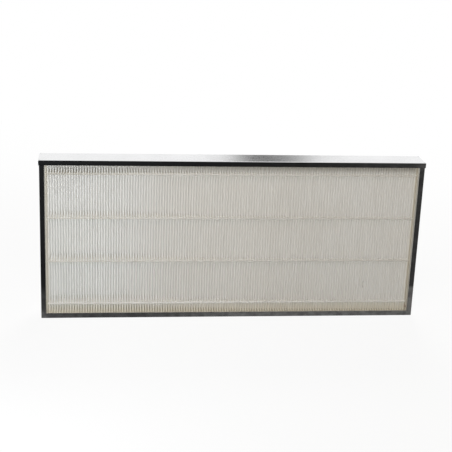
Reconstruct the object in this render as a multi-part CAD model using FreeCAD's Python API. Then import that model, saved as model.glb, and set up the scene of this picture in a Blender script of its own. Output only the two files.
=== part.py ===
import FreeCAD, Part
import os

os.makedirs("parts", exist_ok=True)

# A flat panel filter: a pleated paper pack, potted into a folded sheet-metal frame with a sealing gasket.
# It stands on its long bottom edge. X runs along the width, the front face looks along -Y, and Z is up.
# The origin is under the middle of the part, half way between the gasket's face and the rear face.

# Metal frame
FRAME_W = 700.0  # over the end tabs of the closing rail
FRAME_H = 300.0
FRAME_D = 50.0  # metal only, without the gasket
SHEET = 1.5
LIP = 9.0  # flange height, seen from the front
FOLD_R = 1.8  # outside of every fold; the inside is sharp
BEND_INNER_R = 1.5  # the two bends of the wrapped strip
MITRE_SLIT = 0.4
JOINT_GAP = 0.3  # between the cut edges of the strip and the closing rail
TAB_DROP = 12.0  # how far the closing rail's end tabs reach down
TAB_CORNER_R = 2.0
RELIEF_W = 2.0  # slots beside each end tab
RELIEF_L = 3.0

# Rivets through the end tabs
RIVET_DROP = 7.0  # below the top face
SHANK_R = 1.6
SHANK_CLEARANCE = 0.05
HEAD_R = 3.2
HEAD_H = 1.0
HEAD_BEVEL = 1.2
TAIL_R = 2.4
TAIL_L = 1.5

# Gasket on the front flanges
GASKET_T = 3.0
GASKET_INSET = 0.5  # in from the outer edges of the frame
GASKET_EDGE_R = 0.6

# Pleated pack
PLEAT_PITCH = 4.8
MEDIA_T = 0.5
TIP_CLEARANCE = 3.0  # from the pleat tips to the flanges
EDGE_MIN = 3.0  # least side potting that shows beside the pack
FLAP_SHORT = 5.0  # the end flaps stop this far behind the front tips

# Potting
POT_SHORT = 1.0  # top and bottom potting stop this far short of the flange edges

# Separator beads
BEAD_LINES = 4
BEAD_MARGIN = 18.25  # from the pack's ends to the outer lines
BEAD_H = 4.0
BEAD_PROUD = 0.8  # how far the thread stands off the tips

# Sizes that follow
BEND_OUTER_R = BEND_INNER_R + SHEET
HALF_W = FRAME_W / 2
STRIP_X = HALF_W - SHEET  # outside faces of the wrapped strip's sides
INSIDE_X = STRIP_X - SHEET
OPENING_X = STRIP_X - LIP
OPENING_TOP = FRAME_H - LIP
INSIDE_TOP = FRAME_H - SHEET  # under the closing rail's web, where the strip's ends also stop

GASKET_Y = -(FRAME_D + GASKET_T) / 2
FRONT_Y = GASKET_Y + GASKET_T
REAR_Y = FRONT_Y + FRAME_D
MID_Y = (FRONT_Y + REAR_Y) / 2
INSIDE_FRONT_Y = FRONT_Y + SHEET
INSIDE_REAR_Y = REAR_Y - SHEET

TAB_HALF_W = FRAME_D / 2 - FOLD_R - RELIEF_W

TIP_FRONT_Y = INSIDE_FRONT_Y + TIP_CLEARANCE
TIP_REAR_Y = INSIDE_REAR_Y - TIP_CLEARANCE
PLEATS = int(2 * (OPENING_X - EDGE_MIN) / PLEAT_PITCH)
FOLDS_X = PLEATS * PLEAT_PITCH / 2  # to the outermost rear folds
PACK_X = FOLDS_X + MEDIA_T
PACK_BOTTOM = LIP - POT_SHORT
PACK_TOP = FRAME_H - PACK_BOTTOM
FLAP_FRONT_Y = TIP_FRONT_Y + FLAP_SHORT

TOUCH = 1e-6  # for finding edges by their place


def vec(x, y, z):
    return FreeCAD.Vector(x, y, z)


def block(x0, x1, y0, y1, z0, z1):
    return Part.makeBox(x1 - x0, y1 - y0, z1 - z0, vec(x0, y0, z0))


def prism(points, travel):
    """A closed outline of straight lines, pushed along a vector."""
    outline = Part.makePolygon(points + points[:1])
    return Part.Face(outline).extrude(travel)


def rounded(shape, radius, wanted):
    """Rounds the edges whose middle passes the test."""
    edges = [edge for edge in shape.Edges if wanted(edge.CenterOfMass)]
    return shape.makeFillet(radius, edges)


def near(a, b):
    return abs(a - b) < TOUCH


def mirrored(shape):
    return shape.mirror(vec(0, 0, 0), vec(1, 0, 0))


def save(name, shape):
    shape.exportStep(f"parts/{name}.step")


# Blocks that the sheet metal is cut from and poured round

def bent_block(half_x, y0, y1, z0, z1, bend_r):
    """A block with rounded bottom corners, as the bent strip has outside and inside."""
    body = block(-half_x, half_x, y0, y1, z0, z1)
    return rounded(body, bend_r, lambda p: near(abs(p.x), half_x) and near(p.z, z0))


def inside_space():
    """What the closed frame holds between its webs and flanges."""
    return bent_block(INSIDE_X, INSIDE_FRONT_Y, INSIDE_REAR_Y, SHEET, INSIDE_TOP, BEND_INNER_R)


# Rivets

def rivet():
    """A closed blind rivet along +X, from its tail behind the strip to its bevelled head on the tab."""
    grip = 2 * SHEET
    outline = [(-TAIL_L, 0), (-TAIL_L, TAIL_R), (0, TAIL_R), (0, SHANK_R), (grip, SHANK_R), (grip, HEAD_R),
               (grip + HEAD_H, HEAD_R - HEAD_BEVEL), (grip + HEAD_H, 0)]
    wire = Part.makePolygon([vec(x, r, 0) for x, r in outline + outline[:1]])
    return Part.Face(wire).revolve(vec(0, 0, 0), vec(1, 0, 0), 360)


def rail_rivets():
    """One rivet at each end, seated on the strip's inner face and the tab's outer face."""
    right = rivet()
    right.translate(vec(INSIDE_X, MID_Y, FRAME_H - RIVET_DROP))
    return Part.makeCompound([right, mirrored(right)])


def rivet_drill():
    """Runs the whole width, through strip and tab at both ends."""
    start = vec(-FRAME_W, MID_Y, FRAME_H - RIVET_DROP)
    return Part.makeCylinder(SHANK_R + SHANK_CLEARANCE, 2 * FRAME_W, start, vec(1, 0, 0))


# Sheet-metal frame

def mitre_slit():
    """The slit from the lip to the bend's centre that lets the flanges close at the right-hand bottom bend."""
    reach = LIP - BEND_OUTER_R
    half = MITRE_SLIT / 2 ** 0.5
    outline = [(OPENING_X - half, LIP), (OPENING_X, LIP + half),
               (OPENING_X + reach + half, BEND_OUTER_R), (OPENING_X + reach, BEND_OUTER_R - half)]
    return prism([vec(x, FRONT_Y, z) for x, z in outline], vec(0, FRAME_D, 0))


def bend_notches():
    """Clears the folds from the right-hand bend, at the slit's outer end."""
    x0 = STRIP_X - BEND_OUTER_R
    front = block(x0, STRIP_X, FRONT_Y, FRONT_Y + FOLD_R, 0, BEND_OUTER_R)
    rear = block(x0, STRIP_X, REAR_Y - FOLD_R, REAR_Y, 0, BEND_OUTER_R)
    return front.fuse(rear)


def coping():
    """What comes off the strip's upper ends, so that the closing rail's flanges fit."""
    depth = FOLD_R + JOINT_GAP
    z0 = OPENING_TOP - JOINT_GAP
    front = block(-HALF_W, HALF_W, FRONT_Y, FRONT_Y + depth, z0, FRAME_H)
    rear = block(-HALF_W, HALF_W, REAR_Y - depth, REAR_Y, z0, FRAME_H)
    return front.fuse(rear)


def frame_wrap():
    """One channel strip, bent twice: left side, bottom and right side."""
    def on_a_fold(p):
        return (near(p.y, FRONT_Y) or near(p.y, REAR_Y)) and not near(p.z, INSIDE_TOP)

    strip = bent_block(STRIP_X, FRONT_Y, REAR_Y, 0, INSIDE_TOP, BEND_OUTER_R)
    strip = rounded(strip, FOLD_R, on_a_fold)
    strip = strip.cut(inside_space())
    strip = strip.cut(block(-OPENING_X, OPENING_X, FRONT_Y, REAR_Y, LIP, INSIDE_TOP))
    strip = strip.cut(coping())
    for corner in (mitre_slit(), bend_notches()):
        strip = strip.cut([corner, mirrored(corner)])
    return strip.cut(rivet_drill())


def end_tab():
    """The closing rail's right-hand tab, with the bend that carries it."""
    y0 = MID_Y - TAB_HALF_W
    y1 = MID_Y + TAB_HALF_W
    root = HALF_W - RELIEF_L
    foot = FRAME_H - TAB_DROP
    outside = block(root, HALF_W, y0, y1, foot, FRAME_H)
    outside = rounded(outside, FOLD_R, lambda p: near(p.x, HALF_W) and near(p.z, FRAME_H))
    tab = outside.cut(block(root, STRIP_X, y0, y1, foot, INSIDE_TOP))
    return rounded(tab, TAB_CORNER_R, lambda p: near(p.z, foot) and (near(p.y, y0) or near(p.y, y1)))


def top_rail():
    """The channel that closes the top, with an end tab folded down over each side."""
    rail = block(-HALF_W, HALF_W, FRONT_Y, REAR_Y, OPENING_TOP, FRAME_H)
    rail = rounded(rail, FOLD_R, lambda p: near(p.x, 0) and near(p.z, FRAME_H))
    hollow = block(-HALF_W, HALF_W, INSIDE_FRONT_Y, INSIDE_REAR_Y, OPENING_TOP, INSIDE_TOP)
    slot = TAB_HALF_W + RELIEF_W
    cut_back = block(HALF_W - RELIEF_L, HALF_W, MID_Y - slot, MID_Y + slot, OPENING_TOP, FRAME_H)
    rail = rail.cut([hollow, cut_back, mirrored(cut_back)])
    rail = rail.fuse([end_tab(), mirrored(end_tab())]).removeSplitter()
    return rail.cut(rivet_drill())


# Gasket

def gasket_strip(points, ends):
    """A flat strip on the front flange, from its outline seen from the front."""
    strip = prism([vec(x, GASKET_Y, z) for x, z in points], vec(0, GASKET_T, 0))
    return rounded(strip, GASKET_EDGE_R, lambda p: near(p.y, GASKET_Y) and not ends(p))


def gasket_bottom():
    x = STRIP_X - GASKET_INSET
    points = [(-x, GASKET_INSET), (x, GASKET_INSET), (OPENING_X, LIP), (-OPENING_X, LIP)]
    return gasket_strip(points, lambda p: not near(p.x, 0))


def gasket_right():
    """Mitred at its foot, square at its top."""
    x = STRIP_X - GASKET_INSET
    points = [(x, GASKET_INSET), (x, OPENING_TOP), (OPENING_X, OPENING_TOP), (OPENING_X, LIP)]
    return gasket_strip(points, lambda p: not (near(p.x, x) or near(p.x, OPENING_X)))


def gasket_top():
    """Runs over both side strips, to the ends of the closing rail."""
    x = HALF_W - GASKET_INSET
    z = FRAME_H - GASKET_INSET
    points = [(-x, OPENING_TOP), (x, OPENING_TOP), (x, z), (-x, z)]
    return gasket_strip(points, lambda p: not near(p.x, 0))


# Pleated pack and its separator beads

def front_folds():
    """The pack's front surface in plan, from the left end flap to the right one."""
    points = [(-FOLDS_X, FLAP_FRONT_Y)]
    for i in range(PLEATS):
        valley = -FOLDS_X + i * PLEAT_PITCH
        tip = valley + PLEAT_PITCH / 2
        points.append((valley, TIP_REAR_Y - MEDIA_T))
        points.append((tip - MEDIA_T, TIP_FRONT_Y))
        points.append((tip + MEDIA_T, TIP_FRONT_Y))
    points.append((FOLDS_X, TIP_REAR_Y - MEDIA_T))
    points.append((FOLDS_X, FLAP_FRONT_Y))
    return points


def rear_folds():
    """The pack's rear surface in plan, with the outer faces of both end flaps."""
    points = [(-PACK_X, FLAP_FRONT_Y), (-PACK_X, TIP_REAR_Y), (-FOLDS_X + MEDIA_T, TIP_REAR_Y)]
    for i in range(PLEATS):
        tip = -FOLDS_X + (i + 0.5) * PLEAT_PITCH
        fold = -FOLDS_X + (i + 1) * PLEAT_PITCH
        points.append((tip, TIP_FRONT_Y + MEDIA_T))
        points.append((fold - MEDIA_T, TIP_REAR_Y))
        points.append((fold + MEDIA_T, TIP_REAR_Y))
    points.append((PACK_X, FLAP_FRONT_Y))
    return points


def media_pack():
    """One sheet, folded to and fro, with an end flap turned forward against each side."""
    outline = front_folds() + rear_folds()[::-1]
    height = PACK_TOP - PACK_BOTTOM
    return prism([vec(x, y, PACK_BOTTOM) for x, y in outline], vec(0, 0, height))


def bead_bottoms():
    """The undersides of the bead lines, from the lowest up."""
    span = PACK_TOP - PACK_BOTTOM - 2 * BEAD_MARGIN
    middles = [PACK_BOTTOM + BEAD_MARGIN + span * i / (BEAD_LINES - 1) for i in range(BEAD_LINES)]
    return [middle - BEAD_H / 2 for middle in middles]


def front_bead(z):
    """A thread over the front tips, with a tooth that fills each valley."""
    thread_y = TIP_FRONT_Y - BEAD_PROUD
    ends = [(PACK_X, FLAP_FRONT_Y), (PACK_X, thread_y), (-PACK_X, thread_y), (-PACK_X, FLAP_FRONT_Y)]
    return prism([vec(x, y, z) for x, y in front_folds() + ends], vec(0, 0, BEAD_H))


def rear_bead(z):
    """A thread over the rear tips."""
    return block(-PACK_X, PACK_X, TIP_REAR_Y, TIP_REAR_Y + BEAD_PROUD, z, z + BEAD_H)


# Potting

def potting(x0, x1, z0, z1):
    """Poured into the frame's channel, round the rivet tails."""
    poured = inside_space().common(block(x0, x1, INSIDE_FRONT_Y, INSIDE_REAR_Y, z0, z1))
    return poured.cut(rail_rivets())


# Every piece, by name

save("frame_wrap", frame_wrap())
save("top_rail", top_rail())
save("rail_rivets", rail_rivets())

save("gasket_top", gasket_top())
save("gasket_bottom", gasket_bottom())
save("gasket_right", gasket_right())
save("gasket_left", mirrored(gasket_right()))

save("potting_bottom", potting(-INSIDE_X, INSIDE_X, SHEET, PACK_BOTTOM))
save("potting_top", potting(-INSIDE_X, INSIDE_X, PACK_TOP, INSIDE_TOP))
save("potting_right", potting(PACK_X, INSIDE_X, PACK_BOTTOM, PACK_TOP))
save("potting_left", potting(-INSIDE_X, -PACK_X, PACK_BOTTOM, PACK_TOP))

save("media_pack", media_pack())
for number, z in enumerate(bead_bottoms(), start=1):
    save(f"front_bead_{number}", front_bead(z))
    save(f"rear_bead_{number}", rear_bead(z))
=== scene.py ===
import math

import bmesh
import bpy
import numpy as np
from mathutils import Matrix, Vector


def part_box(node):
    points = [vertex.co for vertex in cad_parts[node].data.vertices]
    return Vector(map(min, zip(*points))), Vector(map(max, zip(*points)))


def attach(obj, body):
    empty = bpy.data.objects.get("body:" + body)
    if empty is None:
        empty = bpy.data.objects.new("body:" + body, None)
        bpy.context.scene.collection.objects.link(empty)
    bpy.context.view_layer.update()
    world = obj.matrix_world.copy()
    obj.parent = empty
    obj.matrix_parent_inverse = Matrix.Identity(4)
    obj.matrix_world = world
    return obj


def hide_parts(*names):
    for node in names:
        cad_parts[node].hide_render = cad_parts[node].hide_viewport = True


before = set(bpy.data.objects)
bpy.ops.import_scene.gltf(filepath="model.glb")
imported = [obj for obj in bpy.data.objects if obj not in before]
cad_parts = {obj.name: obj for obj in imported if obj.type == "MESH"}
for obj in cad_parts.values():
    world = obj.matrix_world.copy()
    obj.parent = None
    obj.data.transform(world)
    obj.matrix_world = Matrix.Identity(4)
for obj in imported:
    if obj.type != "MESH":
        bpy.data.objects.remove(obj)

# Looks of the flat pleated filter: paper pack, glue beads, gasket, rivets, finishes, light and camera.
# Lengths are in metres. X runs along the width, the front face looks along -Y, and Z is up.
MM = 0.001
BODY = "root"
BEAD_LINES = 4
SIDES = ("top", "bottom", "left", "right")
SHARP_ANGLE = math.radians(60)  # edges that turn by more than this stay sharp

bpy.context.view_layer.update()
PACK_LOW, PACK_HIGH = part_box("media_pack")
rng = np.random.default_rng(20)

# Pleats
PLEATS = 140
SHEET = 0.5 * MM
FOLD_R = 0.55 * MM  # to the middle of the sheet
FOLD_STEPS = 5
FOLD_TURN = math.radians(87)
FLAP_SHORT = 5 * MM  # the end flaps stop this far behind the front tips
PITCH_ERROR = 0.12 * MM
TIP_ERROR = 0.2 * MM
SWAY = 0.08 * MM  # sideways wander of a tip between two bead lines
BULGE = 0.15 * MM
SNAKE_SHARE = 0.5  # of a sway to and fro, beside the plain bow of a tip
BAY_ROWS = 5
END_ROWS = 2

# Pressed-in tips, low on the right
DENT_TIP = 122
DENT_Z = 61 * MM
DENT_HALF_H = 6 * MM
DENT_DEPTHS = (4.0 * MM, 2.0 * MM)  # of that tip and of the next one
DENT_ROWS = 8
# Soot on the pressed-in tip, darkened further as painted shade of the dent
SOOT_AND_SHADE_RADII = (2.6 * MM, 5.5 * MM, 1.5 * DENT_HALF_H)

# Beads
BEAD_PROUD = 0.3 * MM
SCALLOP = 0.7 * MM
STRAND_SHARE = 0.65  # height of the strand over a tip, as a share of the bead's height
BETWEEN_SHARE = 1.05  # and of the glue between two tips
THREAD_ERROR = 0.06  # share by which the thread's height varies
THREAD_BACK = 1.6 * MM  # the thread's back edge, behind the tips
THREAD_STEPS = 6  # columns to a pleat
THREAD_ANGLES = np.radians([-90, -55, -20, 20, 55, 90])  # of the points round its section
THREAD_ROUND = 0.45  # 1 is a round section, and less is a boxier one
TOOTH_STATIONS = np.array([0, 0.12, 0.55, 1])  # from the mouth of a valley to its fold
TOOTH_SINK = 0.1 * MM
TOOTH_END = 0.45 * MM  # half width at the fold
TOOTH_RISE = 0.55 * MM  # of its two ridges
TOOTH_SHARE = 0.95  # a tooth's height, as a share of the bead's height
TOOTH_ERROR = 0.08
LINE_WANDER = 0.12 * MM
WANDER_PLEATS = 6  # over which a bead line bends up or down

# Gasket
GASKET_EDGE_R = 0.8 * MM
GASKET_CROWN = 0.15 * MM
GASKET_STEP = 6 * MM  # between two sections of a strip
GASKET_WAVE = 0.1 * MM
JOINT_PINCH = 0.45 * MM
JOINT_REACH = 1.5 * MM

# Rivet outline in mm: how far behind the top of its head, and how far from its axis
RIVET_PIN = [(0.5, 0), (0.5, 0.6), (0.45, 0.8)]  # where the pin broke off
RIVET_DOME = [(0.08, 0.95), (0, 1.15), (0.08, 1.8), (0.35, 2.6), (0.7, 3.1)]
RIVET_BRIM = [(0.95, 3.2), (1.0, 3.15)]
RIVET_SHANK = [(1.0, 1.6), (4.0, 1.6)]
RIVET_TAIL = [(4.0, 2.4), (5.3, 2.4), (5.5, 2.1), (5.5, 0)]
RIVET_SIDES = 32

# Colours
WHITE = (1, 1, 1, 1)
ALUMINIUM = (0.87, 0.875, 0.88, 1)
ALUMINIUM_DARK = (0.80, 0.805, 0.81, 1)
STRIP_METAL = (0.80, 0.81, 0.82, 1)
STRIP_DARK = (0.66, 0.67, 0.68, 1)
RIVET_METAL = (0.72, 0.725, 0.73, 1)
RIVET_DARK = (0.56, 0.565, 0.57, 1)
RUBBER = (0.006, 0.006, 0.0065, 1)
DUST = (0.19, 0.19, 0.19, 1)
PAPER = (0.86, 0.85, 0.825, 1)
PAPER_SHADE = (0.82, 0.805, 0.775, 1)
PAPER_WARM = (0.82, 0.79, 0.74, 1)
PAPER_AGED = (0.95, 0.935, 0.915, 1)
# Paper deep in the pleats, clean and tanned: made lighter as painted light for the light bounced into the
# pleats
PAPER_CLEAN_AND_LIT = (0.90, 0.895, 0.875, 1)
PAPER_TANNED_AND_LIT = (0.92, 0.90, 0.845, 1)
# Resin stain, which also paints the shade along the sides and under the bottom rail
RESIN_STAIN_AND_SHADE = (0.80, 0.755, 0.65, 1)
# Deep stain at the bottom, partly painted shade in the recess under the bottom rail
DEEP_STAIN_AND_SHADE = (0.58, 0.48, 0.33, 1)
# Soil, with painted shade of the top rail
SOIL_AND_SHADE = (0.44, 0.41, 0.35, 1)
# Soot and painted shade in the dent
SOOT_AND_SHADE = (0.12, 0.11, 0.10, 1)
GLUE = (0.70, 0.67, 0.615, 1)
GLUE_TAN = (0.64, 0.605, 0.545, 1)
# Cleaner glue, lightened as painted light where the valleys and the lowest bead are shaded
GLUE_CLEAN_AND_LIT = (0.86, 0.83, 0.78, 1)
GLUE_DUSTY = (0.48, 0.45, 0.395, 1)
RESIN_PALE = (0.40, 0.38, 0.335, 1)
RESIN = (0.34, 0.30, 0.235, 1)
RESIN_RED = (0.24, 0.11, 0.06, 1)
RESIN_CREAM = (0.60, 0.555, 0.465, 1)

# Grain: the scale of its noise, with one value along each axis where it is stretched, and its depth
ROLLING_SCALE = (6, 1400, 1400)
ROLLING_DEPTH = 0.002 * MM
SMUDGE_SCALE = 22.0
ROLLING_SHARE = 0.6  # of the metal's shade; the smudges have the rest
CELL_SCALE = 1800.0
CELL_DEPTH = 0.05 * MM
DUST_SCALE = 90.0
STREAK_SCALE = (420, 60, 5)
CLOUD_SCALE = 14.0
CREEP_SCALE = (500, 40, 30)
FIBRE_SCALE = 1500.0
FIBRE_DEPTH = 0.02 * MM
GLUE_SCALE = 160.0
GLUE_LUMP_SCALE = 500.0
GLUE_LUMP_DEPTH = 0.08 * MM
RESIN_SCALE = 120.0
RESIN_SKIN_SCALE = 220.0
RESIN_SKIN_DEPTH = 0.5 * MM

# Fades: where each starts and where it is full, and then its amounts there, unless they are 0 and 1
PATCH_FADE = (1.0, 0.2)  # from a patch's outline inwards

# Metal: its shade picks the tone and the shine
METAL_TONE = (0.35, 0.65)
METAL_DULL = (0.3, 0.7)
DULLER = 0.04  # added to the roughness where the shade is darkest
SHINIER = 0.03  # and taken off it where the shade is lightest

# Dust on the gasket. At the right it is thicker, and its upper edge is sharper.
LEFT_TO_RIGHT = (-200 * MM, 60 * MM)
DUST_TOP = (66 * MM, 63 * MM)  # at the left and at the right, as in the next three lines
DUST_FULL = (40 * MM, 54 * MM)
SIDE_DUST = (0.55, 1.0)
DUST_COVER = (0.29, 0.62)
BOTTOM_DUST = (36 * MM, 5 * MM)
MIDDLE_DUST = (-60 * MM, 150 * MM, 0.0, 0.04)
RIGHT_DUST = (100 * MM, 345 * MM, 0.0, 0.14)
OUTER_EDGE = (12 * MM, 6 * MM)
OUTER_DUST = (-140 * MM, -20 * MM, 0.0, 0.13)
DUST_BLOTCHES = (0.25, 0.75, 0.7, 1.3)
DUST_PATCHES = [  # centre, radii and amount
    ((-345 * MM, -26 * MM, 4 * MM), (16 * MM, 6 * MM, 16 * MM), 0.2),
    ((345 * MM, -26 * MM, 8 * MM), (12 * MM, 6 * MM, 30 * MM), 0.5),
    ((345 * MM, -26 * MM, 294 * MM), (22 * MM, 6 * MM, 12 * MM), 0.15),
]

# Stains and soil on the paper, partly painted shade under the rails, and painted light deep in the pleats
STREAKS = (0.3, 0.7)
CLOUDS = (0.35, 0.7, 0.0, 0.35)
CREEP_DOWN = 14 * MM  # how unevenly the resin creeps up from the bottom
CREEP_IN = 3 * MM  # and in from the sides
# Resin stain from the bottom, partly painted shade under the bottom rail
STAIN_AND_SHADE_Z = (PACK_LOW.z + 16 * MM, PACK_LOW.z - 2 * MM)
DEEP_STAIN_AND_SHADE_Z = (PACK_LOW.z - 3 * MM, PACK_LOW.z - 11 * MM, 0.0, 0.35)
# Resin stain along the sides, partly painted shade of the side rails
SIDE_STAIN_AND_SHADE_X = (PACK_HIGH.x - 4.5 * MM, PACK_HIGH.x + 1.5 * MM, 0.0, 0.6)
# Painted light: the paper is cleaner and lighter deep in the pleats
CLEAN_AND_LIT_Y = (PACK_LOW.y + 2 * MM, PACK_LOW.y + 14 * MM)
AGED_X = (-260 * MM, -80 * MM)
LESS_AGED_X = (80 * MM, 260 * MM, 1.0, 0.45)
# Soil and painted shade under the top rail, stronger towards the right
SOIL_AND_SHADE_Z = (PACK_HIGH.z - 16 * MM, PACK_HIGH.z - 5 * MM)
SOIL_AND_SHADE_X = (-380 * MM, -20 * MM, 0.1, 0.8)

# Dust and blotches on the glue, and painted light in the valleys and on the lowest bead
GLUE_BLOTCHES = (0.3, 0.7)
CLEAN_AND_LIT_GLUE_Y = (PACK_LOW.y, PACK_LOW.y + 4 * MM)
CLEAN_AND_LIT_GLUE_Z = (110 * MM, 26 * MM, 0.0, 0.7)
DUSTY_GLUE_X = (-100 * MM, -300 * MM)
DUSTY_GLUE_Z = (240 * MM, 270 * MM, 0.25, 0.9)

# Tones of the resin
RESIN_UNEVEN = 120 * MM  # how far its blotches shift the two heights
BROWN_Z = (190 * MM, 50 * MM)
CREAM_X = (PACK_HIGH.x + 2.5 * MM, PACK_HIGH.x)
RED_Z = (85 * MM, 55 * MM)
RED_X = (PACK_HIGH.x - 2 * MM, PACK_HIGH.x, 0.0, 0.8)

# Stage
FLOOR_HALF = 30.0
FLOOR_WHITE = (0.95, 0.95, 0.95, 1)
FLOOR_BOUNCE = (0.8, 0.8, 0.8, 1)
FLOOR_FADE = (0.5, 1.6, 0.9, 1.0)  # share of plain white in a direct look, near the object and far off
AMBIENT = 0.1
CARD_LEFT = 0.52
CARD_RIGHT = 0.93
CARD_Y = 4.0
CARD_TOP = 3.2
CARD_FADE = (CARD_LEFT + 0.12, CARD_RIGHT, 0.04, 0.42)

# Lamps
WARM_LIGHT = (1.0, 0.958, 0.885)
COOL_LIGHT = (0.86, 0.93, 1.0)
BOUNCE_LIGHT = (0.95, 0.98, 1.0)
REAR_LIGHT = (1.0, 0.98, 0.95)

# Camera
SENSOR_MM = 36.0
LENS_MM = 88.154
CAMERA_SPOT = (-0.24227, -1.92374, 0.81504)
CAMERA_TURN = (71.5917, -2.1309, -6.1646)  # degrees


# Random lines that are the same on each run

def drift(count, reach):
    """Random values from -1 to 1 that change slowly: about reach neighbours go together."""
    kernel = np.exp(-0.5 * (np.arange(-3 * reach, 3 * reach + 1) / reach) ** 2)
    raw = rng.standard_normal(count + len(kernel) - 1)
    smooth = np.convolve(raw, kernel, "valid") / np.sqrt((kernel ** 2).sum())
    return np.clip(smooth / 2, -1, 1)


# Meshes

def grid_faces(rows, columns):
    """Quads between neighbouring rows of points, each row being a closed ring."""
    row, column = np.meshgrid(np.arange(rows - 1), np.arange(columns), indexing="ij")
    after = (column + 1) % columns
    corners = [row * columns + column, row * columns + after,
               (row + 1) * columns + after, (row + 1) * columns + column]
    return np.stack(corners, -1).reshape(-1, 4).tolist()


def loft(rings):
    """Points and faces of a closed skin over a row of rings, with a flat cap at each end."""
    rows, columns, _ = rings.shape
    first = list(range(columns))
    last = [(rows - 1) * columns + i for i in first]
    return rings.reshape(-1, 3), grid_faces(rows, columns) + [first, last]


def together(skins):
    """Several skins as one."""
    points, faces, start = [], [], 0
    for skin_points, skin_faces in skins:
        points.append(skin_points)
        faces += [[start + i for i in face] for face in skin_faces]
        start += len(skin_points)
    return np.concatenate(points), faces


def face_outwards(mesh):
    """Turns the normals of a closed mesh outwards."""
    solid = bmesh.new()
    solid.from_mesh(mesh)
    bmesh.ops.recalc_face_normals(solid, faces=solid.faces)
    solid.to_mesh(mesh)
    solid.free()


def piece(name, skin, node, finish):
    """A smooth mesh that stands for a CAD node."""
    points, faces = skin
    mesh = bpy.data.meshes.new(name)
    mesh.from_pydata(points.tolist(), [], faces)
    face_outwards(mesh)
    mesh.shade_smooth()
    mesh.set_sharp_from_angle(angle=SHARP_ANGLE)
    mesh.materials.append(finish)
    made = bpy.data.objects.new(name, mesh)
    bpy.context.scene.collection.objects.link(made)
    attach(made, BODY)
    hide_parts(node)


# Pleated pack

def middle_and_half(node):
    """The height of a node's middle, and half of its own height."""
    low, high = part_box(node)
    return (low.z + high.z) / 2, (high.z - low.z) / 2


BEAD_Z = [middle_and_half(f"front_bead_{line + 1}")[0] for line in range(BEAD_LINES)]
STOPS = [PACK_LOW.z, *BEAD_Z, PACK_HIGH.z]
FOLDS_X = PACK_HIGH.x - SHEET
PITCH = 2 * FOLDS_X / PLEATS
OUTER_R = FOLD_R + SHEET / 2
TIP_X = -FOLDS_X + (np.arange(PLEATS) + 0.5) * PITCH + PITCH_ERROR * drift(PLEATS, reach=1)
TIP_Y = PACK_LOW.y + TIP_ERROR * (1 + drift(PLEATS, reach=1))
REAR_X = -FOLDS_X + np.arange(PLEATS + 1) * PITCH + PITCH_ERROR * drift(PLEATS + 1, reach=1)
REAR_X[[0, -1]] = -FOLDS_X, FOLDS_X
REAR_Y = np.full(PLEATS + 1, PACK_HIGH.y)


def pack_rows():
    """Heights of the pack's rows of points, closer together at the pressed-in tips."""
    rows = [DENT_Z + np.linspace(-DENT_HALF_H, DENT_HALF_H, DENT_ROWS)]
    for bay, (z0, z1) in enumerate(zip(STOPS, STOPS[1:])):
        count = END_ROWS if bay in (0, BEAD_LINES) else BAY_ROWS
        rows.append(np.linspace(z0, z1, count + 1))
    return np.unique(np.round(np.concatenate(rows), 5))


def bay_and_share(rows):
    """The bay between two bead lines that each height is in, and how far up that bay it is, 0 to 1."""
    stops = np.array(STOPS)
    bay = np.clip(np.searchsorted(stops, rows, "right") - 1, 0, len(stops) - 2)
    share = (rows - stops[bay]) / (stops[bay + 1] - stops[bay])
    return bay, share


def wander(rows, count, size):
    """A shift of each fold at each height. The bead lines hold the folds, so it is none there."""
    bay, share = bay_and_share(rows)
    bow = np.array([drift(count, reach=2) for _ in range(BEAD_LINES + 1)])
    snake = np.array([drift(count, reach=2) for _ in range(BEAD_LINES + 1)])
    one_way = np.sin(math.pi * share)[:, None]
    to_and_fro = np.sin(2 * math.pi * share)[:, None]
    return size * (one_way * bow[bay] + SNAKE_SHARE * to_and_fro * snake[bay])


def fold_arcs(x, y, facing):
    """The round of each fold in plan: middle-line points, and the way to the front surface at each."""
    turn = np.linspace(-FOLD_TURN, FOLD_TURN, FOLD_STEPS)
    out = np.stack([np.sin(turn), facing * np.cos(turn)], -1)
    centre = np.stack([x, y - facing * OUTER_R], -1)[:, :, None, :]
    front = np.broadcast_to(-facing * out, (*x.shape, *out.shape))
    return centre + FOLD_R * out, front


def end_flap(rows, side):
    """The free end of the sheet, turned forward against the side potting."""
    edge = np.empty((len(rows), 1, 2))
    edge[..., 0] = side * (FOLDS_X + SHEET / 2)
    edge[..., 1] = PACK_LOW.y + FLAP_SHORT
    front = np.zeros_like(edge)
    front[..., 0] = -side
    return edge, front


def along_sheet(left, rears, tips, right):
    """Points in order along the sheet: left flap, rear folds and tips in turn, right flap."""
    pairs = np.concatenate([rears[:, :-1], tips], 2).reshape(len(rears), -1, 2)
    return np.concatenate([left, pairs, rears[:, -1], right], 1)


def sheet_rings(rows):
    """The sheet's outline in plan at each height, along the front surface and back along the rear one."""
    tip_x = TIP_X + wander(rows, PLEATS, SWAY)
    tip_y = TIP_Y + np.abs(wander(rows, PLEATS, BULGE))
    near = np.clip(1 - ((rows - DENT_Z) / DENT_HALF_H) ** 2, 0, 1)
    for step, depth in enumerate(DENT_DEPTHS):
        tip_y[:, DENT_TIP + step] += depth * near
    rear_x = REAR_X + wander(rows, PLEATS + 1, SWAY)
    tips, tips_front = fold_arcs(tip_x, tip_y, -1)
    rears, rears_front = fold_arcs(rear_x, np.tile(REAR_Y, (len(rows), 1)), 1)
    left, left_front = end_flap(rows, -1)
    right, right_front = end_flap(rows, 1)
    middle = along_sheet(left, rears, tips, right)
    front = along_sheet(left_front, rears_front, tips_front, right_front)
    return np.concatenate([middle + front * SHEET / 2, (middle - front * SHEET / 2)[:, ::-1]], 1)


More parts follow.
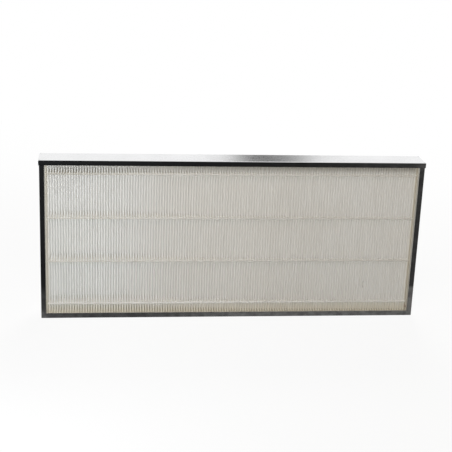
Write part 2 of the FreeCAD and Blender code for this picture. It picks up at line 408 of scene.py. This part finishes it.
def media_skin():
    """One sheet of paper, folded to and fro, as a closed skin."""
    rows = pack_rows()
    rings = sheet_rings(rows)
    height = np.broadcast_to(rows[:, None, None], (*rings.shape[:2], 1))
    points = np.concatenate([rings, height], 2)
    columns = rings.shape[1]
    faces = grid_faces(len(rows), columns)
    for base in (0, (len(rows) - 1) * columns):
        faces += [[base + j, base + j + 1, base + columns - 2 - j, base + columns - 1 - j]
                  for j in range(columns // 2 - 1)]
    return points.reshape(-1, 3), faces


# Separator beads

def thread_places(fold_x):
    """Where the thread's sections are: counted in folds, and in X."""
    place = np.linspace(-0.5, len(fold_x) - 0.5, len(fold_x) * THREAD_STEPS + 1)
    ahead = np.concatenate([[2 * fold_x[0] - fold_x[1]], fold_x, [2 * fold_x[-1] - fold_x[-2]]])
    x = np.interp(place, np.arange(-1, len(fold_x) + 1), ahead)
    return place, np.clip(x, PACK_LOW.x, PACK_HIGH.x)


def thread_skin(fold_x, fold_y, facing, z, half):
    """The thread of glue over the folds, drawn in between them."""
    place, x = thread_places(fold_x)
    between = 0.5 - 0.5 * np.cos(2 * math.pi * place)
    y = np.interp(place, np.arange(len(fold_y)), fold_y)
    outer = y + facing * (BEAD_PROUD - SCALLOP * between)
    back = y - facing * THREAD_BACK
    middle = z + LINE_WANDER * drift(len(place), reach=WANDER_PLEATS * THREAD_STEPS)
    share = STRAND_SHARE + (BETWEEN_SHARE - STRAND_SHARE) * between
    tall = half * share * (1 + THREAD_ERROR * drift(len(place), reach=3))
    reach = np.cos(THREAD_ANGLES) ** THREAD_ROUND
    ring_y = back[:, None] + (outer - back)[:, None] * reach
    ring_z = middle[:, None] + tall[:, None] * np.sin(THREAD_ANGLES)
    ring_x = np.broadcast_to(x[:, None], ring_y.shape)
    return loft(np.stack([ring_x, ring_y, ring_z], -1))


def tooth_skin(x, y_mouth, y_fold, z, half):
    """The glue in one valley: two ridges side by side, narrowing towards the fold."""
    y = y_mouth + (y_fold - y_mouth) * TOOTH_STATIONS
    mouth = PITCH / 2 - OUTER_R + TOOTH_SINK
    wide = mouth + (TOOTH_END - mouth) * TOOTH_STATIONS
    ridge = np.array([-1, -0.5, 0, 0.5, 1])
    drop = np.array([1, 0, 1, 0, 1])
    across = np.concatenate([ridge, ridge[::-1]])
    above = half - TOOTH_RISE * drop
    level = np.concatenate([above, -above])
    ring_x = x + wide[:, None] * across
    ring_y = np.broadcast_to(y[:, None], ring_x.shape)
    ring_z = np.broadcast_to(z + level, ring_x.shape)
    return loft(np.stack([ring_x, ring_y, ring_z], -1))


def bead_skin(fold_x, fold_y, facing, node):
    """A comb of glue: a thread along the folds, and a tooth in each valley between two of them."""
    z, half = middle_and_half(node)
    skins = [thread_skin(fold_x, fold_y, facing, z, half)]
    valley_x = (fold_x[1:] + fold_x[:-1]) / 2
    outermost = facing * np.maximum(facing * fold_y[1:], facing * fold_y[:-1])
    mouth = outermost - facing * THREAD_BACK / 2
    far_folds = PACK_LOW.y if facing > 0 else PACK_HIGH.y
    tall = half * (TOOTH_SHARE + TOOTH_ERROR * drift(len(valley_x), reach=1))
    for x, y_mouth, height in zip(valley_x, mouth, tall):
        skins.append(tooth_skin(x, y_mouth, far_folds + facing * 2 * SHEET, z, height))
    return together(skins)


# Gasket

def gasket_section(width, thick):
    """Half-rounded strip: how far across and how far forward each point of its section is."""
    r = GASKET_EDGE_R
    bend = r * (1 - math.sqrt(0.5))
    low = thick - GASKET_CROWN
    half = [(0, 0), (0, low - r), (bend, low - bend), (r, low), (width / 4, thick - GASKET_CROWN / 4)]
    return np.array(half + [(width / 2, thick)] + [(width - across, out) for across, out in half[::-1]])


def gasket_edges(side):
    """A strip's outer and inner edge, each a start and an end in X and Z, and its width."""
    low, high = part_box(f"gasket_{side}")
    if side == "top":
        return [(low.x, high.z), (high.x, high.z)], [(low.x, low.z), (high.x, low.z)], high.z - low.z
    if side == "bottom":
        width = high.z - low.z
        inner = [(low.x + width, high.z), (high.x - width, high.z)]
        return [(low.x, low.z), (high.x, low.z)], inner, width
    width = high.x - low.x
    out_x, in_x = (low.x, high.x) if side == "left" else (high.x, low.x)
    return [(out_x, low.z), (out_x, high.z)], [(in_x, low.z + width), (in_x, high.z)], width


def strip_stations(length):
    """Where a strip's sections are, as shares of its length, and how close each is to a joint."""
    inside = np.linspace(JOINT_REACH, length - JOINT_REACH, int(length / GASKET_STEP))
    ends = np.array([0, JOINT_REACH / 3])
    run = np.concatenate([ends, inside, length - ends[::-1]]) / length
    near_joint = np.clip(1 - np.minimum(run, 1 - run) * length / JOINT_REACH, 0, 1) ** 2
    return run, near_joint


def gasket_skin(side):
    """A strip between its two edges, a little wavy and pinched at its joints."""
    outer, inner, width = gasket_edges(side)
    outer, inner = np.array(outer), np.array(inner)
    low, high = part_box(f"gasket_{side}")
    thick = high.y - low.y
    run, near_joint = strip_stations(np.linalg.norm(outer[1] - outer[0]))
    edge_wave = GASKET_WAVE * drift(len(run), reach=3) * (1 - near_joint)
    depth_wave = GASKET_WAVE * (drift(len(run), reach=4) - 1) / 2  # never thicker than the strip
    section = gasket_section(width, thick)
    across = section[:, 0] / width
    line_outer = outer[0] + (outer[1] - outer[0]) * run[:, None]
    line_inner = inner[0] + (inner[1] - inner[0]) * run[:, None]
    inward = (line_inner - line_outer) / np.linalg.norm(line_inner - line_outer, axis=1)[:, None]
    plan = line_outer[:, None] + (line_inner - line_outer)[:, None] * across[:, None]
    plan = plan + inward[:, None] * (edge_wave[:, None] * np.sin(math.pi * across))[:, :, None]
    forward = section[:, 1] * (1 + (depth_wave - JOINT_PINCH * near_joint) / thick)[:, None]
    return loft(np.stack([plan[..., 0], high.y - forward, plan[..., 1]], -1))


# Rivets

def rivet_skin():
    """Two blind rivets, one at each end of the rail, each with a recess where its pin broke off."""
    low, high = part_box("rail_rivets")
    y, z = (low.y + high.y) / 2, (low.z + high.z) / 2
    outline = MM * np.array(RIVET_PIN + RIVET_DOME + RIVET_BRIM + RIVET_SHANK + RIVET_TAIL)
    turn = np.linspace(0, 2 * math.pi, RIVET_SIDES, endpoint=False)
    skins = []
    for side in (-1, 1):
        x = side * (high.x - outline[:, :1])
        ring_y = y + outline[:, 1:] * np.cos(turn)
        ring_z = z + outline[:, 1:] * np.sin(turn)
        skins.append(loft(np.stack([np.broadcast_to(x, ring_y.shape), ring_y, ring_z], -1)))
    return together(skins)


# Nodes that finishes are made of

def new_finish(name, **settings):
    """A material with its shader's constant sockets set, its node tree and its shader."""
    finish = bpy.data.materials.new(name)
    finish.use_nodes = True
    shader = finish.node_tree.nodes["Principled BSDF"]
    for socket, value in settings.items():
        shader.inputs[socket.replace("_", " ")].default_value = value
    return finish, finish.node_tree, shader


def add(tree, kind, inputs, **settings):
    """Adds a node. Inputs are numbers, colours or the sockets that feed them."""
    node = tree.nodes.new("ShaderNode" + kind)
    for name, value in settings.items():
        setattr(node, name, value)
    for key, value in inputs.items():
        if isinstance(value, bpy.types.NodeSocket):
            tree.links.new(value, node.inputs[key])
        else:
            node.inputs[key].default_value = value
    return node


def place(tree):
    """The point on the object and its X, Y and Z."""
    where = add(tree, "TexCoord", {}).outputs["Object"]
    return where, *add(tree, "SeparateXYZ", {"Vector": where}).outputs


def stretched(tree, where, scale):
    return add(tree, "VectorMath", {0: where, 1: scale}, operation="MULTIPLY").outputs[0]


def noise(tree, where, scale, detail):
    """Noise from about 0.25 to 0.75. More detail adds finer layers."""
    return add(tree, "TexNoise", {"Vector": where, "Scale": scale, "Detail": detail}).outputs["Fac"]


def fade(tree, value, start, end, low=0.0, high=1.0):
    """Goes smoothly from low at start to high at end."""
    inputs = {"Value": value, "From Min": start, "From Max": end, "To Min": low, "To Max": high}
    return add(tree, "MapRange", inputs, interpolation_type="SMOOTHSTEP").outputs["Result"]


def math_node(tree, operation, a, b):
    return add(tree, "Math", {0: a, 1: b}, operation=operation).outputs[0]


def plus(tree, a, b):
    return math_node(tree, "ADD", a, b)


def times(tree, a, b):
    return math_node(tree, "MULTIPLY", a, b)


def larger(tree, a, b):
    return math_node(tree, "MAXIMUM", a, b)


def unsigned(tree, value):
    """The value without its sign."""
    return math_node(tree, "ABSOLUTE", value, 0.0)


def mixed(tree, share, a, b, blend="MIX"):
    return add(tree, "MixRGB", {"Fac": share, "Color1": a, "Color2": b}, blend_type=blend).outputs["Color"]


def patch(tree, where, centre, radii):
    """1 near the centre of a soft oval patch, and 0 outside it."""
    shifted = add(tree, "VectorMath", {0: where, 1: centre}, operation="SUBTRACT").outputs[0]
    scaled = add(tree, "VectorMath", {0: shifted, 1: radii}, operation="DIVIDE").outputs[0]
    reach = add(tree, "VectorMath", {0: scaled}, operation="LENGTH").outputs["Value"]
    return fade(tree, reach, *PATCH_FADE)


def raise_grain(tree, shader, height, depth):
    """Bump of a real depth in metres."""
    bump = add(tree, "Bump", {"Height": height, "Distance": depth, "Strength": 1.0})
    tree.links.new(bump.outputs["Normal"], shader.inputs["Normal"])


# Finishes

def along_rail(tree, x, z):
    """Rolling lines run along X."""
    return x, z


def along_strip(tree, x, z):
    """Rolling lines follow the strip: X along the bottom, and Z up the sides beyond the mitre lines."""
    low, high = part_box("gasket_right")
    from_opening = math_node(tree, "SUBTRACT", unsigned(tree, x), low.x)
    to_lip = math_node(tree, "SUBTRACT", low.z + high.x - low.x, z)
    on_side = math_node(tree, "GREATER_THAN", from_opening, to_lip)
    return mixed(tree, on_side, x, z), mixed(tree, on_side, z, x)


def metal_finish(name, grain, tone, dark_tone, roughness):
    """Satin sheet: rolling lines the way that grain picks, and smudges that shine a little less."""
    finish, tree, shader = new_finish(name, Metallic=1.0)
    where, x, y, z = place(tree)
    along, across = grain(tree, x, z)
    lines_at = add(tree, "CombineXYZ", {"X": along, "Y": across, "Z": y}).outputs[0]
    lines = noise(tree, stretched(tree, lines_at, ROLLING_SCALE), 1.0, detail=3.0)
    smudges = noise(tree, where, SMUDGE_SCALE, detail=4.0)
    shade = plus(tree, times(tree, lines, ROLLING_SHARE), times(tree, smudges, 1 - ROLLING_SHARE))
    colour = mixed(tree, fade(tree, shade, *METAL_TONE), dark_tone, tone)
    tree.links.new(colour, shader.inputs["Base Color"])
    dull = fade(tree, shade, *METAL_DULL, roughness + DULLER, roughness - SHINIER)
    tree.links.new(dull, shader.inputs["Roughness"])
    raise_grain(tree, shader, lines, ROLLING_DEPTH)
    return finish


def gasket_dust(tree, where, x, z):
    """How much of the rubber the dust covers, before its blotches."""
    top = fade(tree, x, *LEFT_TO_RIGHT, *DUST_TOP)
    full = fade(tree, x, *LEFT_TO_RIGHT, *DUST_FULL)
    up_sides = fade(tree, z, top, full, 0.0, fade(tree, x, *LEFT_TO_RIGHT, *SIDE_DUST))
    low_down = larger(tree, up_sides, fade(tree, z, *BOTTOM_DUST))
    cover = times(tree, low_down, fade(tree, x, *LEFT_TO_RIGHT, *DUST_COVER))
    cover = plus(tree, cover, fade(tree, x, *MIDDLE_DUST))
    cover = plus(tree, cover, fade(tree, x, *RIGHT_DUST))
    cover = plus(tree, cover, times(tree, fade(tree, z, *OUTER_EDGE), fade(tree, x, *OUTER_DUST)))
    for centre, radii, amount in DUST_PATCHES:
        cover = plus(tree, cover, times(tree, patch(tree, where, centre, radii), amount))
    return cover


def gasket_finish():
    """Black foam rubber, dusty along the bottom, up the lower sides and round the corners."""
    finish, tree, shader = new_finish("black_gasket", Roughness=0.55, Specular_IOR_Level=0.07)
    where, x, _, z = place(tree)
    blotches = fade(tree, noise(tree, where, DUST_SCALE, detail=5.0), *DUST_BLOTCHES)
    cover = times(tree, gasket_dust(tree, where, x, z), blotches)
    tree.links.new(mixed(tree, cover, RUBBER, DUST), shader.inputs["Base Color"])
    raise_grain(tree, shader, noise(tree, where, CELL_SCALE, detail=2.0), CELL_DEPTH)
    return finish


def media_finish():
    """Glass-fibre paper: soft streaks from pleat to pleat, stains near its edges that are partly painted
    shade under the rails, and painted light deep in the pleats.
    """
    finish, tree, shader = new_finish("filter_paper", Roughness=0.95, Specular_IOR_Level=0.1,
                                      Sheen_Weight=1.0, Sheen_Roughness=0.5)
    where, x, y, z = place(tree)
    streaks = noise(tree, stretched(tree, where, STREAK_SCALE), 1.0, detail=2.0)
    clouds = noise(tree, where, CLOUD_SCALE, detail=3.0)
    tone = mixed(tree, fade(tree, streaks, *STREAKS), PAPER_SHADE, PAPER)
    tone = mixed(tree, fade(tree, clouds, *CLOUDS), tone, PAPER_WARM)

    # Resin crept up from the bottom, darker there also as painted shade under the bottom rail
    creep = noise(tree, stretched(tree, where, CREEP_SCALE), 1.0, detail=3.0)
    height = plus(tree, z, times(tree, creep, -CREEP_DOWN))
    stained_and_shaded = fade(tree, height, *STAIN_AND_SHADE_Z)
    tone = mixed(tree, stained_and_shaded, tone, RESIN_STAIN_AND_SHADE)
    tone = mixed(tree, fade(tree, height, *DEEP_STAIN_AND_SHADE_Z), tone, DEEP_STAIN_AND_SHADE)

    # Cleaner paper deep in the pleats, made lighter as painted light for the light bounced deep into them
    clean_and_lit = mixed(tree, stained_and_shaded, PAPER_CLEAN_AND_LIT, PAPER_TANNED_AND_LIT)
    tone = mixed(tree, fade(tree, y, *CLEAN_AND_LIT_Y), tone, clean_and_lit)

    # Aged in the middle, soil and painted shade under the top rail, resin stain and painted shade along
    # the sides
    aged = times(tree, fade(tree, x, *AGED_X), fade(tree, x, *LESS_AGED_X))
    tone = mixed(tree, aged, tone, PAPER_AGED, "MULTIPLY")
    soil_and_shade = times(tree, fade(tree, z, *SOIL_AND_SHADE_Z), fade(tree, x, *SOIL_AND_SHADE_X))
    tone = mixed(tree, soil_and_shade, tone, SOIL_AND_SHADE)
    to_side = plus(tree, unsigned(tree, x), times(tree, creep, CREEP_IN))
    tone = mixed(tree, fade(tree, to_side, *SIDE_STAIN_AND_SHADE_X), tone, RESIN_STAIN_AND_SHADE)

    # Soot and painted shade on the pressed-in tip
    sooty_shaded_tip = patch(tree, where, (TIP_X[DENT_TIP], PACK_LOW.y, DENT_Z), SOOT_AND_SHADE_RADII)
    tree.links.new(mixed(tree, sooty_shaded_tip, tone, SOOT_AND_SHADE), shader.inputs["Base Color"])
    raise_grain(tree, shader, noise(tree, where, FIBRE_SCALE, detail=4.0), FIBRE_DEPTH)
    return finish


def bead_finish():
    """Hot-melt glue with tan blotches, cleaner and lighter in the valleys and low down as painted light
    against their shade, dusty high on the left.
    """
    finish, tree, shader = new_finish("hot_melt_glue", Roughness=0.5, Specular_IOR_Level=0.3)
    where, x, y, z = place(tree)
    blotches = noise(tree, where, GLUE_SCALE, detail=3.0)
    tone = mixed(tree, fade(tree, blotches, *GLUE_BLOTCHES), GLUE_TAN, GLUE)
    # Painted light: lighter glue in the valleys and low down
    clean_and_lit = larger(tree, fade(tree, y, *CLEAN_AND_LIT_GLUE_Y), fade(tree, z, *CLEAN_AND_LIT_GLUE_Z))
    tone = mixed(tree, clean_and_lit, tone, GLUE_CLEAN_AND_LIT)
    dusty = times(tree, fade(tree, x, *DUSTY_GLUE_X), fade(tree, z, *DUSTY_GLUE_Z))
    tree.links.new(mixed(tree, dusty, tone, GLUE_DUSTY), shader.inputs["Base Color"])
    raise_grain(tree, shader, noise(tree, where, GLUE_LUMP_SCALE, detail=2.0), GLUE_LUMP_DEPTH)
    return finish


def potting_finish():
    """Cast resin with an uneven skin: browner low down, cream against the pack, red low on the right."""
    finish, tree, shader = new_finish("cast_resin", Roughness=0.45)
    where, x, _, z = place(tree)
    blotches = noise(tree, where, RESIN_SCALE, detail=4.0)
    height = plus(tree, z, times(tree, blotches, RESIN_UNEVEN))
    tone = mixed(tree, fade(tree, height, *BROWN_Z), RESIN_PALE, RESIN)
    tone = mixed(tree, fade(tree, unsigned(tree, x), *CREAM_X), tone, RESIN_CREAM)
    reddened = times(tree, fade(tree, height, *RED_Z), fade(tree, x, *RED_X))
    tree.links.new(mixed(tree, reddened, tone, RESIN_RED), shader.inputs["Base Color"])
    raise_grain(tree, shader, noise(tree, where, RESIN_SKIN_SCALE, detail=3.0), RESIN_SKIN_DEPTH)
    return finish


def finish_node(name, finish):
    """Gives a CAD node its finish."""
    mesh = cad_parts[name].data
    mesh.materials.clear()
    mesh.materials.append(finish)


# Pieces

paper = media_finish()
glue = bead_finish()
rubber = gasket_finish()
resin = potting_finish()
rivet_metal = metal_finish("rivet_aluminium", along_rail, RIVET_METAL, RIVET_DARK, roughness=0.3)
strip_metal = metal_finish("strip_aluminium", along_strip, STRIP_METAL, STRIP_DARK, roughness=0.28)
rail_metal = metal_finish("rail_aluminium", along_rail, ALUMINIUM, ALUMINIUM_DARK, roughness=0.22)

piece("pleated_paper", media_skin(), "media_pack", paper)
for line in range(1, BEAD_LINES + 1):
    front, rear = f"front_bead_{line}", f"rear_bead_{line}"
    piece(f"front_glue_{line}", bead_skin(TIP_X, TIP_Y, -1, front), front, glue)
    piece(f"rear_glue_{line}", bead_skin(REAR_X, REAR_Y, 1, rear), rear, glue)
for side in SIDES:
    piece(f"rubber_{side}", gasket_skin(side), f"gasket_{side}", rubber)
piece("pop_rivets", rivet_skin(), "rail_rivets", rivet_metal)

finish_node("frame_wrap", strip_metal)
finish_node("top_rail", rail_metal)
for side in SIDES:
    finish_node(f"potting_{side}", resin)


# Stage

def seen_directly(tree):
    """1 for what the camera, a reflection or a view through glass sees, and 0 for bounced light."""
    path = add(tree, "LightPath", {})
    seen = plus(tree, path.outputs["Is Camera Ray"], path.outputs["Is Glossy Ray"])
    return plus(tree, seen, path.outputs["Is Transmission Ray"])


def stage_sheet(name, corners, finish):
    """A flat sheet that belongs to the stage and not to the object."""
    mesh = bpy.data.meshes.new(name)
    mesh.from_pydata(corners, [], [range(len(corners))])
    mesh.materials.append(finish)
    sheet = bpy.data.objects.new(name, mesh)
    bpy.context.scene.collection.objects.link(sheet)
    return sheet


def floor_finish():
    """White where it is seen, with the object's shadow on it, and plain pale for bounced light."""
    finish, tree, _ = new_finish("white_floor")
    seen = seen_directly(tree)
    matt = add(tree, "BsdfDiffuse", {"Color": mixed(tree, seen, FLOOR_BOUNCE, FLOOR_WHITE)})
    glow = add(tree, "Emission", {"Color": WHITE, "Strength": 1.0})
    where, *_ = place(tree)
    reach = add(tree, "VectorMath", {0: where}, operation="LENGTH").outputs["Value"]
    share = times(tree, seen, fade(tree, reach, *FLOOR_FADE))
    both = add(tree, "MixShader", {0: share, 1: matt.outputs[0], 2: glow.outputs[0]})
    tree.links.new(both.outputs[0], tree.nodes["Material Output"].inputs["Surface"])
    finish.cycles.emission_sampling = "NONE"
    return finish


def card_finish():
    """A dark card that turns grey towards its right edge."""
    finish, tree, _ = new_finish("dark_card")
    _, x, _, _ = place(tree)
    glow = add(tree, "Emission", {"Color": fade(tree, x, *CARD_FADE)})
    tree.links.new(glow.outputs[0], tree.nodes["Material Output"].inputs["Surface"])
    finish.cycles.emission_sampling = "NONE"
    return finish


def lay_floor():
    far = FLOOR_HALF
    corners = [(-far, -far, 0), (far, -far, 0), (far, far, 0), (-far, far, 0)]
    stage_sheet("floor", corners, floor_finish())


def hang_card():
    """Only the metal mirrors the card: the camera doesn't see it, and it throws no light or shadow."""
    corners = [(CARD_LEFT, CARD_Y, 0), (CARD_RIGHT, CARD_Y, 0),
               (CARD_RIGHT, CARD_Y, CARD_TOP), (CARD_LEFT, CARD_Y, CARD_TOP)]
    card = stage_sheet("dark_card", corners, card_finish())
    card.visible_camera = False
    card.visible_diffuse = False
    card.visible_shadow = False


def white_surroundings():
    """White where they are seen, and a faint even light from all round."""
    world = bpy.data.worlds.new("white_room")
    world.use_nodes = True
    tree = world.node_tree
    sky = tree.nodes["Background"]
    sky.inputs["Color"].default_value = WHITE
    tree.links.new(larger(tree, seen_directly(tree), AMBIENT), sky.inputs["Strength"])
    bpy.context.scene.world = world


# Light and camera

def soft_light(name, spot, target, size, power, colour, shadow=True, mirrored=True):
    """A round lamp. Without shadow it stands for the light that goes to and fro inside the pleats."""
    lamp = bpy.data.lights.new(name, "AREA")
    lamp.shape = "DISK"
    lamp.size = size
    lamp.energy = power
    lamp.color = colour
    lamp.use_shadow = shadow
    light = bpy.data.objects.new(name, lamp)
    light.location = spot
    light.rotation_euler = (Vector(target) - Vector(spot)).to_track_quat("-Z", "Y").to_euler()
    light.visible_glossy = mirrored
    bpy.context.scene.collection.objects.link(light)


def photo_camera():
    """The camera of the reference picture, fitted to the frame's corners."""
    camera = bpy.data.cameras.new("photo_camera")
    camera.sensor_width = SENSOR_MM
    camera.lens = LENS_MM
    view = bpy.data.objects.new("photo_camera", camera)
    view.location = CAMERA_SPOT
    view.rotation_euler = [math.radians(turn) for turn in CAMERA_TURN]
    bpy.context.scene.collection.objects.link(view)
    bpy.context.scene.camera = view


lay_floor()
hang_card()
white_surroundings()
soft_light("key", spot=(-0.35, -1.5, 1.9), target=(-0.1, 0, 0.15), size=0.8, power=12.0, colour=WARM_LIGHT)
soft_light("window", spot=(-0.45, -0.8, 0.35), target=(-0.35, 0, 0.15), size=0.3, power=1.3,
           colour=COOL_LIGHT)
soft_light("bounce", spot=(-0.5, -0.7, 0.35), target=(-0.36, 0, 0.12), size=0.5, power=1.8,
           colour=BOUNCE_LIGHT, shadow=False)
soft_light("left", spot=(-1.5, -0.5, 0.35), target=(-0.1, 0, 0.15), size=0.5, power=0.6,
           colour=BOUNCE_LIGHT, shadow=False)
soft_light("right", spot=(0.9, -0.5, 0.35), target=(0.1, 0, 0.12), size=0.5, power=1.15,
           colour=WARM_LIGHT, shadow=False)
soft_light("rear", spot=(0.5, 1.6, 1.9), target=(0, 0, 0.15), size=0.8, power=18.0,
           colour=REAR_LIGHT, mirrored=False)
soft_light("rear_low", spot=(0.2, 1.5, 0.7), target=(0, 0, 0.15), size=0.8, power=8.0,
           colour=REAR_LIGHT, mirrored=False)
photo_camera()
bpy.context.scene.view_settings.view_transform = "Standard"
